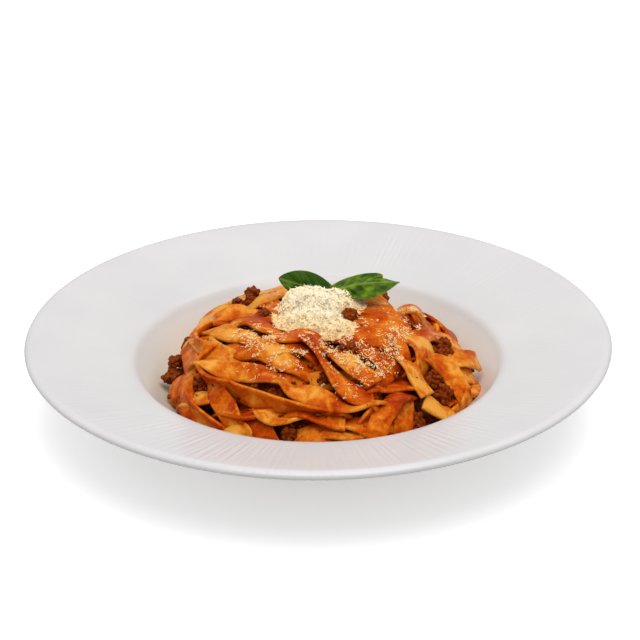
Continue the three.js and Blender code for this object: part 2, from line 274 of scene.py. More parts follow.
def make_piece(name, points, faces, material, attributes=None, smooth=True):
    """A mesh piece from points in millimetres and an array, or a list of arrays, of faces."""
    faces = faces if isinstance(faces, list) else [faces]
    sizes = np.concatenate([np.full(len(f), f.shape[1]) for f in faces])
    corners = np.concatenate([f.ravel() for f in faces]).astype(np.int32)
    starts = np.concatenate([[0], np.cumsum(sizes)[:-1]]).astype(np.int32)
    mesh = bpy.data.meshes.new(name)
    mesh.vertices.add(len(points))
    mesh.vertices.foreach_set("co", (points * MM).astype(np.float32).ravel())
    mesh.loops.add(len(corners))
    mesh.loops.foreach_set("vertex_index", corners)
    mesh.polygons.add(len(sizes))
    mesh.polygons.foreach_set("loop_start", starts)
    mesh.polygons.foreach_set("use_smooth", np.full(len(sizes), smooth))
    mesh.update(calc_edges=True)
    mesh.validate()
    for label, values in (attributes or {}).items():
        attribute = mesh.attributes.new(label, "FLOAT", "POINT")
        attribute.data.foreach_set("value", values.astype(np.float32).ravel())
    mesh.materials.append(material)
    piece = bpy.data.objects.new(name, mesh)
    bpy.context.scene.collection.objects.link(piece)
    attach(piece, "root")
    return piece


def closed_stack(rings):
    """Points and faces of a skin through rings of points, one after the other, that is closed at both
    ends by a fan of triangles to the middle of the end ring. Rings run anticlockwise seen from the
    last ring's side."""
    count, columns = rings.shape[:2]
    faces = grid_faces(count, columns, wrap_columns=True)
    points = np.vstack([rings.reshape(-1, 3), [rings[0].mean(axis=0)], [rings[-1].mean(axis=0)]])
    ring = np.arange(columns)
    after = (ring + 1) % columns
    first, second = count * columns, count * columns + 1
    last = (count - 1) * columns
    cap_first = np.stack([np.full(columns, first), after, ring], axis=1)
    cap_last = np.stack([np.full(columns, second), last + ring, last + after], axis=1)
    return points, [faces, np.vstack([cap_first, cap_last])]


def closed_strip(rings):
    """Points and faces of a strip's skin. Each ring goes across the top of the strip, to the right seen
    from behind it, and back underneath. Quads between top and bottom close both ends."""
    rows, columns = rings.shape[:2]
    strip = np.arange(columns // 2 - 1)
    cap = np.stack([strip, strip + 1, columns - 2 - strip, columns - 1 - strip], axis=1)
    faces = [grid_faces(rows, columns, wrap_columns=True), cap[:, ::-1], cap + (rows - 1) * columns]
    return rings.reshape(-1, 3), [np.vstack(faces)]


def joined(parts):
    """Points, faces and attribute values of many parts as one, from those of each."""
    counts = np.cumsum([0] + [len(p[0]) for p in parts])
    points = np.concatenate([p[0] for p in parts])
    groups = range(len(parts[0][1]))
    faces = [np.concatenate([p[1][g] + start for p, start in zip(parts, counts)]) for g in groups]
    values = np.concatenate([p[2] for p in parts])
    return points, faces, values


def waves(points, size, seed, octaves=3):
    """Smooth random relief, mostly between -1 and 1: at each octave the sum of four sine waves along
    random directions, with half the length and half the height of those of the one before."""
    local = np.random.default_rng(seed)
    total = np.zeros(points.shape[:-1])
    for octave in range(octaves):
        finer = 0.5**octave
        for _ in range(4):
            direction = local.normal(size=3)
            direction *= 2 * np.pi / (size * finer * np.linalg.norm(direction))
            total += 0.5 * finer * np.sin(points @ direction + local.uniform(0, 6.3))
    return total


def unit(vectors):
    """The vectors, each divided by its length."""
    return vectors / np.maximum(np.linalg.norm(vectors, axis=-1, keepdims=True), 1e-9)


def bell(reach, half):
    """Weights of a bell curve, reach samples wide and cut half samples from its middle."""
    weights = np.exp(-0.5 * (np.arange(-half, half + 1) / reach) ** 2)
    return weights / weights.sum()


def soften(values, reach):
    """Running average with a bell-shaped weight, reach samples wide."""
    half = int(3 * reach) + 1
    return np.convolve(np.pad(values, half, mode="edge"), bell(reach, half), mode="valid")


def rounded(points, per_stretch=12):
    """A smooth curve through the points: between two of them a cubic whose slope at each point is half
    the way from the point before it to the point after."""
    points = np.asarray(points, float)
    ends = np.vstack([2 * points[0] - points[1], points, 2 * points[-1] - points[-2]])
    t = np.linspace(0, 1, per_stretch, endpoint=False)[:, None]
    p0, p1, p2, p3 = (ends[k : len(ends) - 3 + k, None, :] for k in range(4))
    square = 2 * p0 - 5 * p1 + 4 * p2 - p3
    cube = 3 * p1 - p0 - 3 * p2 + p3
    curve = 0.5 * (2 * p1 + (p2 - p0) * t + square * t**2 + cube * t**3)
    return np.vstack([curve.reshape(-1, points.shape[1]), points[-1:]])


def evenly(curve, step, by=None):
    """The curve's rows, resampled at about equal steps along the columns that by takes."""
    along = curve if by is None else curve[:, by]
    length = np.concatenate([[0], np.cumsum(np.linalg.norm(np.diff(along, axis=0), axis=1))])
    count = max(4, int(round(length[-1] / step)) + 1)
    at = np.linspace(0, length[-1], count)
    return np.stack([np.interp(at, length, column) for column in curve.T], axis=1)


# ---- Plate ----


def plate_profile():
    """The plate's half section as radius and height, from the axis over the top, round the lip and back
    under to the axis: smooth curves through the places where its slope changes."""
    crest = PLATE_RADIUS - 2.7
    well = [
        (0, FLOOR_HEIGHT), (30, FLOOR_HEIGHT), (46, FLOOR_HEIGHT + 0.4), (61, FLOOR_HEIGHT + 4.2),
        (72, FLOOR_HEIGHT + 10.6), (79, FLOOR_HEIGHT + 17.5), (EDGE_RADIUS - 4.3, EDGE_HEIGHT - 3.6),
        (EDGE_RADIUS - 1.9, EDGE_HEIGHT - 0.7),
    ]
    rim = [
        (EDGE_RADIUS + 1.4, EDGE_HEIGHT + 0.7), (EDGE_RADIUS + 8, EDGE_HEIGHT + 2.3),
        (EDGE_RADIUS + 26, EDGE_HEIGHT + 6.7), (crest - 4, PLATE_HEIGHT - 0.9), (crest, PLATE_HEIGHT),
    ]
    lip = [
        (PLATE_RADIUS - 0.9, PLATE_HEIGHT - 0.5), (PLATE_RADIUS - 0.05, PLATE_HEIGHT - 1.4),
        (PLATE_RADIUS - 0.3, PLATE_HEIGHT - LIP * 0.56),
        (PLATE_RADIUS - 1.5, PLATE_HEIGHT - LIP * 0.83),
        (PLATE_RADIUS - 4, PLATE_HEIGHT - LIP * 1.05),
    ]
    under = [
        (EDGE_RADIUS + 25, EDGE_HEIGHT + 1.9), (EDGE_RADIUS + 6, EDGE_HEIGHT - 3.5),
        (EDGE_RADIUS - 1, EDGE_HEIGHT - 8), (EDGE_RADIUS - 7, EDGE_HEIGHT - 16),
        (FOOT_RADIUS + 11, FLOOR_HEIGHT - 0.5), (FOOT_RADIUS + 2, 2.8), (FOOT_RADIUS - 0.2, 0.3),
    ]
    foot = [
        (FOOT_RADIUS - 0.9, 0.0), (FOOT_RADIUS - 3.1, 0.0), (FOOT_RADIUS - 4, 0.8),
        (FOOT_RADIUS - 4.3, 3.0), (0, 3.0),
    ]
    return rounded(well + rim + lip + under, 10), np.array(foot)


PLATE_TOP, PLATE_FOOT = plate_profile()


def flute_height(turn, radius):
    """Height of the pressed flutes: three crossed sets of waves round the rim, each shifted by slower
    ones so that no two grooves are alike, deepest in the middle of the rim and shallow at the back."""
    wander = 1.6 * np.sin(7 * turn + 0.5) + 1.1 * np.sin(17 * turn + 2.0)
    wander = wander + 0.02 * radius * np.sin(3 * turn)
    one = np.sin(FLUTES * turn + wander + 0.05 * radius * np.sin(5 * turn))
    two = np.sin(167 * turn + 2.2 * np.sin(11 * turn + 1.0) - 0.03 * radius)
    three = np.sin(304 * turn + 1.7 * np.sin(13 * turn + 4.0) + 0.06 * radius)
    uneven = 0.65 + 0.35 * np.sin(23 * turn + 0.11 * radius) * np.sin(9 * turn + 1.3)
    start = np.clip((radius - EDGE_RADIUS - 1) / 12, 0, 1) ** 1.5
    end = 1 - 0.6 * np.clip((radius - 112) / 16, 0, 1)
    front = 0.3 + 0.7 * np.clip((np.cos(turn) - 0.3) / 0.5, 0, 1)
    return FLUTE_DEPTH * start * end * front * uneven * (0.5 * one + 0.35 * two + 0.3 * three)


def around(radius, turn, height):
    """Points at a radius and a height, turned from the front towards +X."""
    return np.stack([radius * np.sin(turn), -radius * np.cos(turn), height + 0 * turn], axis=-1)


def make_plate(material):
    """The profile turned about the axis, with the flutes raised along it. Its points are closest round
    the well's edge and the lip, and sparse underneath."""
    step = 0.4
    fine = evenly(PLATE_TOP, step)
    from_lip = np.hypot(fine[:, 0] - PLATE_RADIUS + 2, fine[:, 1] - PLATE_HEIGHT + 2.5)
    from_edge = np.hypot(fine[:, 0] - EDGE_RADIUS, fine[:, 1] - EDGE_HEIGHT)
    below = np.arange(len(fine)) > np.argmax(fine[:, 0])
    points_per_mm = np.where(below, 0.09, 0.19)
    points_per_mm += 0.9 * np.exp(-((from_lip / 4) ** 2)) + 0.4 * np.exp(-((from_edge / 6) ** 2))
    passed = np.cumsum(step * points_per_mm)
    chosen = np.searchsorted(passed, np.arange(1, passed[-1]))
    profile = np.vstack([fine[chosen], fine[-1:], PLATE_FOOT[:-1]])
    turn = np.linspace(0, 2 * np.pi, PLATE_SIDES, endpoint=False)
    radius, height = profile[:, 0][:, None], profile[:, 1][:, None]
    slope = np.gradient(profile, axis=0)
    normal = unit(np.stack([-slope[:, 1], slope[:, 0]], axis=1))
    outer, upward = normal[:, 0][:, None], normal[:, 1][:, None]
    raised = flute_height(turn, radius)
    raised = np.where((upward < 0) & (radius < PLATE_RADIUS - 6), 0, raised)
    on_table = height <= 0.01
    rings = around(radius + outer * raised, turn, np.where(on_table, 0.0, height + upward * raised))
    points, faces = closed_stack(rings[::-1])
    piece = make_piece("plate_glazed", points, faces, material)
    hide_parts("plate")


def wall_radius(height):
    """Radius of the well's wall at a height, from the rising part of the profile."""
    radius, level = PLATE_TOP.T
    wall = PLATE_TOP[(radius > 30) & (radius < EDGE_RADIUS - 1.5) & (level < EDGE_HEIGHT)]
    wall = wall[np.argsort(wall[:, 1])]
    return np.interp(height, wall[:, 1], wall[:, 0])


# ---- The heap's own coordinates ----

# Azimuth 0 faces -Y and grows towards +X, up runs from 0 at the wall to 1 at the top, and the flat
# map has the top in its middle, MAP_RADIUS from the wall.
NOWHERE = 1e-6  # keeps a division by a distance from the middle finite


def to_map(azimuth, up):
    """The spot on the map at an azimuth in degrees, as far out as the wall is, less its share up."""
    azimuth = np.radians(azimuth)
    out = (1 - np.asarray(up, float)) * MAP_RADIUS
    return np.stack([out * np.sin(azimuth), -out * np.cos(azimuth)], axis=-1)


def dome(spots):
    """Point on the dome and its outward normal, for spots on the map. The angle grows from 0 at the
    wall to a quarter turn at the top, the radius is its cosine, and the height a power of its sine."""
    out = np.maximum(np.linalg.norm(spots, axis=-1), NOWHERE)
    angle = np.clip((1 - out / MAP_RADIUS) * np.pi / 2, 0.012, np.pi / 2)
    radius = HEAP_RADIUS * np.cos(angle)
    height = HEAP_BASE + HEAP_DOME * np.sin(angle) ** HEAP_POWER
    outward = spots / out[..., None]
    rise = HEAP_DOME * HEAP_POWER * np.sin(angle) ** (HEAP_POWER - 1) * np.cos(angle)
    level = HEAP_RADIUS * np.sin(angle)
    place = np.concatenate([HEAP_CENTRE + outward * radius[..., None], height[..., None]], axis=-1)
    normal = unit(np.concatenate([outward * rise[..., None], level[..., None]], axis=-1))
    return place, normal


def plan_spot(x, y):
    """The spot on the map of the dome's point straight over x and y."""
    flat = np.stack([x, y], axis=-1) - HEAP_CENTRE
    out = np.linalg.norm(flat, axis=-1, keepdims=True)
    angle = np.arccos(np.clip(out / HEAP_RADIUS, 0, 1))
    return flat / np.maximum(out, NOWHERE) * (1 - angle / (np.pi / 2)) * MAP_RADIUS


def map_spot(place):
    """The spot on the map nearest a point, and how far the point is off the dome there."""
    flat = place[..., :2] - HEAP_CENTRE
    out = np.linalg.norm(flat, axis=-1)
    high = np.clip((place[..., 2] - HEAP_BASE) / HEAP_DOME, 0, None) ** (1 / HEAP_POWER)
    angle = np.arctan2(high, out / HEAP_RADIUS)
    from_top = (1 - angle / (np.pi / 2)) * MAP_RADIUS
    spot = flat / np.maximum(out, NOWHERE)[..., None] * from_top[..., None]
    on_dome, normal = dome(spot)
    return spot, np.sum((place - on_dome) * normal, axis=-1)


class Pile:
    """How high things lie on the heap, in millimetres off the dome, on a 1 mm grid over the map."""

    HALF = 100

    def __init__(self):
        """An empty pile is the broad bumps of the sauce core."""
        lines = np.arange(-self.HALF, self.HALF + 1.0)
        x, y = np.meshgrid(lines, lines, indexing="ij")
        place, _ = dome(np.stack([x, y], axis=-1))
        self.top = CORE_LIFT + CORE_BUMPS * waves(place, 22, 3)

    def cell(self, spots):
        """Row and column of the grid point nearest each spot."""
        index = np.clip(np.round(spots).astype(int) + self.HALF, 0, 2 * self.HALF)
        return index[..., 0], index[..., 1]

    def at(self, spots):
        """Height at each spot."""
        return self.top[self.cell(spots)]

    def smooth(self, reach):
        """The heights averaged over reach millimetres each way."""
        half = 3 * reach
        padded = np.pad(self.top, half, mode="edge")
        rows = np.apply_along_axis(np.convolve, 0, padded, bell(reach, half), "valid")
        return np.apply_along_axis(np.convolve, 1, rows, bell(reach, half), "valid")

    def hollow(self, spots):
        """How far the pile at each spot is lower than its average over 4 mm round it."""
        return self.smooth(4)[self.cell(spots)] - self.at(spots)

    def cover(self, spots, height):
        """Raises the pile to a height at the spots and half a step beside them."""
        for shift in ((0.0, 0.0), (0.5, 0.5), (-0.5, 0.5)):
            np.maximum.at(self.top, self.cell(spots + np.array(shift)), height)


MEAT_NODES = sorted(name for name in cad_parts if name.startswith("meat_"))

# ---- Ribbons ----

# Each row: sauce share, then stops of azimuth, up, how far the ribbon leans about its own run, in
# degrees, and its lift off the dome in millimetres, and then how far its start and its end dip, in
# millimetres, where they aren't both tucked under. They are laid in this order.
TUCKED, CUT = 5.0, 0.0
SHOWN_RIBBONS = [
    # low at the front and on the left
    (0.30, [(-95, 0.46, 0, 0), (-92, 0.41, 0, 0), (-87, 0.37, 0, 0)]),
    (0.35, [(-72, 0.28, 0, 0), (-70, 0.19, 0, 0), (-70, 0.10, 0, 0), (-69, 0.03, 0, 0)]),
    (0.45, [(-6.5, 0.20, 30, 0), (-2, 0.22, 30, 0), (4, 0.21, 30, 0), (11, 0.16, 40, 0)]),
    (0.82, [(-27, 0.32, 10, 0), (-23, 0.24, 10, 1), (-20, 0.18, 5, 1.2), (-17, 0.08, 0, 0.5)]),
    (0.02, [(-37.5, 0.03, 5, 0), (-35, 0.12, 10, 1.5), (-31.5, 0.17, 15, 2.2), (-28, 0.16, 10, 1.5),
     (-26, 0.08, 5, 0)]),
    (0.60, [(-38, 0.26, 60, 0), (-31, 0.27, 60, 0.5), (-27, 0.29, 50, 0), (-25.5, 0.33, 30, -3)]),
    (0.30, [(4, 0.22, 60, 0), (10, 0.20, 60, 0.3), (16, 0.22, 60, 0.3), (21, 0.27, 50, 0)]),
    (0.25, [(-60, 0.19, 40, -0.5), (-54, 0.25, 35, 0), (-50, 0.29, 35, 0), (-46, 0.34, 40, -0.5)]),
    (0.40, [(-52, 0.41, -10, 0), (-46, 0.35, -10, 1), (-41, 0.31, -5, 1.2), (-35, 0.26, -10, 0.8),
     (-31, 0.19, -20, 0)]),
    (0.60, [(-70, 0.36, 0, 0), (-65, 0.305, 0, 1.2), (-61, 0.255, 0, 1.5), (-57.5, 0.20, -5, 1.2),
     (-55, 0.12, -15, 0.3)]),
    (0.55, [(-58.5, 0.20, -15, 0.8), (-54, 0.185, -15, 1.2), (-49.5, 0.17, -20, 1.5),
     (-45, 0.155, -25, 1.5), (-41, 0.14, -30, 1.2), (-38, 0.12, -30, 0.3)], CUT, TUCKED),
    (0.28, [(-24.5, 0.355, 20, -3), (-23, 0.33, 34, -0.8), (-21, 0.305, 45, 0.4),
     (-17.5, 0.29, 50, 0.8), (-13, 0.305, 52, 0.8), (-8, 0.34, 50, 0)]),
    (0.58, [(-10, 0.35, 45, 0), (-3, 0.335, 32, 0.8), (2, 0.32, 22, 1), (6, 0.295, 18, 1),
     (9, 0.285, 18, 1)], TUCKED, CUT),
    (0.38, [(-91, 0.46, 0, 0), (-84, 0.41, -8, 1), (-77, 0.395, -10, 1), (-70, 0.385, -20, 1),
     (-62, 0.38, -30, 0)]),
    # low on the right
    (0.42, [(69, 0.35, 10, 0), (75, 0.25, 15, 0.5), (83, 0.17, 0, 0)]),
    (0.32, [(60, 0.21, 55, 0), (68, 0.16, 55, 1), (75, 0.12, 50, 1.5), (81, 0.08, 40, 0.5)]),
    (0.10, [(66, 0.19, 20, 0.5), (62, 0.13, 20, 1), (58, 0.08, 20, 0.5)]),
    (0.20, [(98, 0.52, 10, -5), (100, 0.47, 10, -5), (100, 0.41, -5, -4), (98, 0.33, -10, -3),
     (98, 0.21, -10, -3)]),
    (0.40, [(75, 0.59, 10, 0), (84, 0.55, 5, 0.5), (90, 0.50, 0, 0)]),
    (0.50, [(26, 0.49, 40, 0), (24, 0.40, 45, 0), (22, 0.34, 50, 0), (18, 0.29, 60, 0)]),
    (0.55, [(22, 0.46, 40, 0), (30, 0.45, 36, 0), (36, 0.44, 36, 0), (44, 0.41, 40, 0)]),
    (0.60, [(13, 0.26, 40, 0), (18, 0.19, 38, 0.5), (23, 0.15, 40, 0.5), (29, 0.14, 45, 0.5),
     (34, 0.17, 50, 0)]),
    (0.75, [(35, 0.36, 10, -1.2), (30.5, 0.32, 5, -0.8), (26.5, 0.27, 0, -0.6), (24, 0.21, 0, -0.4),
     (23.5, 0.13, 0, -0.8)]),
    (0.50, [(36.5, 0.375, 0, -4), (34.5, 0.33, 22, 0.8), (32, 0.275, 10, 1.4), (30, 0.21, 0, 1.4),
     (29.5, 0.12, -5, 0.3)]),
    (0.60, [(37.5, 0.385, -15, -3.5), (33, 0.365, -40, 0.8), (28.5, 0.335, -34, 1.8),
     (24.5, 0.295, -22, 2), (21, 0.245, -10, 2), (19, 0.185, 0, 1.8), (18.5, 0.11, 0, 0.5)]),
    # the middle of the left and the front
    (0.60, [(-46, 0.68, 20, 0), (-38, 0.70, 10, 0.3), (-28, 0.72, 5, 0.5), (-18, 0.73, 10, 0.3),
     (-8, 0.71, 20, 0)]),
    (0.60, [(-36, 0.64, 20, 0), (-27.5, 0.63, 5, 0.5), (-19, 0.62, 0, 0.7), (-13, 0.61, 15, 0)]),
    (0.38, [(-75, 0.52, 30, 0), (-66, 0.55, 10, 1.2), (-59, 0.575, -5, 1.6), (-51, 0.61, -10, 1.8),
     (-43, 0.64, -10, 1.8), (-35, 0.67, -5, 1.6), (-30, 0.70, 10, 0.5)]),
    (0.48, [(-47, 0.71, 20, 0), (-40, 0.75, 10, 1), (-30, 0.78, 5, 1.8), (-18.5, 0.80, 5, 2),
     (-9, 0.80, 15, 1.5), (-2, 0.78, 30, 0.3)]),
    (0.45, [(-87, 0.61, 15, 0), (-89.5, 0.65, 12, 1.4), (-88, 0.695, 15, 2), (-82, 0.73, 20, 2),
     (-70, 0.755, 20, 1.2), (-60, 0.78, 20, 0)]),
    (0.12, [(-90, 0.46, 15, 0.5), (-81, 0.485, 5, 1), (-71, 0.505, 0, 1), (-62, 0.525, 5, 0.6),
     (-54, 0.54, 20, 0)]),
    (0.18, [(-93, 0.50, 20, 1), (-87, 0.56, 8, 2), (-79, 0.595, -8, 2.5), (-71, 0.63, -8, 2.5),
     (-63, 0.66, 5, 2), (-54, 0.67, 20, 1)]),
    (0.30, [(-98, 0.59, -15, 0), (-98, 0.53, -20, 1.5), (-94, 0.50, -30, 2.5), (-89, 0.475, -42, 2.8),
     (-83, 0.46, -58, 2.8), (-76, 0.465, -60, 2.5), (-70, 0.475, -35, 2), (-65, 0.51, 0, 1.5),
     (-58, 0.55, 5, 1)]),
    (0.50, [(-67, 0.47, -45, 1), (-64, 0.41, -60, 2), (-60, 0.39, -72, 2.3), (-54, 0.385, -78, 2.3),
     (-46, 0.39, -80, 2.2), (-40, 0.40, -76, 2), (-35, 0.395, -62, 2), (-30, 0.39, -50, 2),
     (-24, 0.39, -62, 2), (-18, 0.38, -72, 2), (-11, 0.365, -76, 2), (-4, 0.35, -80, 1.5),
     (4, 0.34, -85, 0.5)]),
    (0.36, [(-64, 0.425, 50, 1.5), (-59, 0.45, 30, 2), (-50, 0.47, 0, 2), (-42, 0.50, -15, 2),
     (-33, 0.52, -5, 2), (-26, 0.52, 26, 2), (-20, 0.51, 48, 2), (-16.5, 0.495, 60, 2),
     (-13, 0.47, 35, 2.2), (-9, 0.45, 5, 2.6), (-4, 0.425, -12, 2.8), (2, 0.40, 0, 2.6),
     (8, 0.375, 30, 2), (13, 0.365, 50, 1.5), (20, 0.38, 55, 0)]),
    # the right side and the middle, from the top down
    (0.85, [(30, 0.80, 0, -1), (36, 0.70, 0, -1), (40, 0.62, 0, -0.5), (42, 0.52, 0, -1)]),
    (0.55, [(66, 0.72, 15, 1), (62, 0.67, 24, 2), (56, 0.62, 28, 2), (49, 0.58, 25, 2),
     (42, 0.555, 22, 1.8), (35, 0.525, 25, 1.2), (28, 0.48, 40, 0)]),
    (0.30, [(73, 0.60, 20, 0), (72, 0.55, 8, 1), (68, 0.51, 18, 1.5), (62, 0.48, 45, 1.5),
     (55, 0.48, 70, 0)]),
    (0.35, [(77, 0.835, -8, 1), (71, 0.80, -16, 2.2), (69, 0.76, -22, 2.5), (68.5, 0.71, -22, 2.8),
     (67, 0.66, -14, 2.8), (65, 0.60, 5, 2.6), (62, 0.55, 20, 2.2), (58, 0.505, 35, 1.5),
     (54, 0.46, 50, 0)]),
    (0.35, [(63, 0.48, 20, 0), (65, 0.425, -10, 1.5), (65, 0.37, -22, 2.2), (63.5, 0.315, -28, 2.4),
     (62, 0.26, -28, 2.2), (61, 0.20, -16, 1.2), (61, 0.13, 5, -0.5)]),
    (0.10, [(76, 0.37, -5, 1.5), (79, 0.33, -10, 3), (83, 0.275, -8, 3.5),
     (87, 0.215, -8, 3.5)], TUCKED, CUT),
    (0.22, [(43, 0.30, 10, 1.5), (46, 0.23, 15, 1.5), (49, 0.17, 30, 1.2), (53, 0.12, 50, 0.8),
     (57, 0.05, 60, 0)], CUT, TUCKED),
    (0.25, [(48, 0.52, 25, -1.5), (46.5, 0.47, 18, 1.6), (45.5, 0.42, 16, 2.2), (45, 0.365, 15, 2.2),
     (45, 0.315, 15, 2.2)], TUCKED, CUT),
    (0.50, [(-7, 0.735, 60, 0.5), (-1.5, 0.69, 58, 2), (3, 0.635, 52, 2.4), (6.5, 0.575, 46, 2.6),
     (9.5, 0.51, 25, 2.8), (12.5, 0.455, 5, 3), (16, 0.415, 5, 2.8), (20, 0.385, 30, 1)]),
    (0.32, [(10, 0.71, 30, -0.5), (12.5, 0.665, 12, 2.5), (16.5, 0.615, 3, 3.5), (19.5, 0.56, 2, 3.8),
     (22.5, 0.51, 5, 3.8), (24.5, 0.46, 10, 3.8)], TUCKED, CUT),
    # at the back, where it shows from the front
    (0.22, [(116, 0.89, -15, 0.5), (126, 0.83, -30, 1.5), (131, 0.77, -36, 2), (128, 0.72, -30, 1),
     (120, 0.68, -10, -2)]),
    (0.38, [(124, 0.855, 0, 0.5), (104, 0.835, -5, 1.5), (93, 0.79, -10, 2), (87, 0.74, -10, 2),
     (82, 0.68, 0, 0.5)]),
    (0.15, [(-121, 0.66, 0, 0), (-127, 0.69, 0, 1), (-136, 0.70, 0, 1.2), (-146, 0.69, 0, 0.5)]),
    (0.12, [(-107, 0.46, 10, -1), (-114, 0.44, 0, 0), (-118, 0.46, -15, 0.5), (-119, 0.505, -22, 0.5),
     (-120, 0.55, -20, -1), (-121, 0.60, -10, -3)]),
    (0.18, [(-102, 0.50, -10, 0), (-101, 0.57, -22, 1.5), (-103.5, 0.62, -28, 2),
     (-106, 0.66, -25, 1.6), (-108, 0.69, -10, -1)]),
    (0.35, [(108, 0.70, 0, -5), (104.5, 0.68, 0, -2.5), (103, 0.655, 0, 3), (102, 0.61, 0, 5.5),
     (101, 0.565, 0, 3.5), (100, 0.53, 0, -2), (99, 0.49, 0, -4)]),
    # in the gap beside the cheese
    (0.45, [(43, 0.825, -5, -3), (48, 0.78, -20, -1.5), (51, 0.73, -28, -1), (53.5, 0.68, -28, -1),
     (52.5, 0.625, -20, -1.2), (49, 0.56, -5, -3)]),
]

RING_STEP = 1.0  # between the rings of points along a ribbon
RUN_ON = 6.0  # how far a tucked end goes on past its last stop
DIP_RUN = 10  # length over which an end dips
SETTLING = 0.35  # share of its height above the ceiling that a soft ribbon keeps
SAG = 0.03  # how far it is let down at each turn of relaxing

# Half of the ring of points round a ribbon: how far out they are and how high, as shares of half its
# width and of half its thickness.
ACROSS = np.array([-1.0, -0.9, -0.6, -0.2, 0.2, 0.6, 0.9, 1.0])
THICK = np.array([0.5, 1.0, 1.0, 1.0, 1.0, 1.0, 1.0, 0.5])


def resting_lift(required, ceiling):
    """Lift of a soft ribbon's middle line: it is pushed up to what is required, and in between it is
    stretched flat like a skin and let down a little at each of many small turns, so that it sags.
    Above the ceiling only a part of the height is left, as the heap settles under its weight."""
    settled = ceiling + SETTLING * (required - ceiling)
    floor = np.where(required > ceiling, settled, required)
    lift = floor.copy()
    for _ in range(200):
        padded = np.pad(lift, 1, mode="edge")
        lift = np.maximum(floor, 0.25 * padded[:-2] + 0.5 * lift + 0.25 * padded[2:] - SAG)
    lift = soften(lift, 2.0)
    return lift + soften(np.maximum(floor - lift, 0), 1.5)


def ribbon_curve(stops, start, end):
    """A ribbon's run at even steps, as columns of map spot, lean, lift and place: a smooth curve
    through its stops. An end that dips runs straight on past its last stop."""
    rows = np.column_stack([to_map(stops[:, 0], stops[:, 1]), stops[:, 2:]])

    def beyond(last, before):
        return np.append(last[:2] + unit(last[:2] - before[:2]) * RUN_ON, last[2:])

    if start:
        rows = np.vstack([beyond(rows[0], rows[1]), rows])
    if end:
        rows = np.vstack([rows, beyond(rows[-1], rows[-2])])
    curve = rounded(rows)
    place, normal = dome(curve[:, :2])
    return evenly(np.column_stack([curve, place + normal * curve[:, 3:]]), RING_STEP, slice(4, 7))


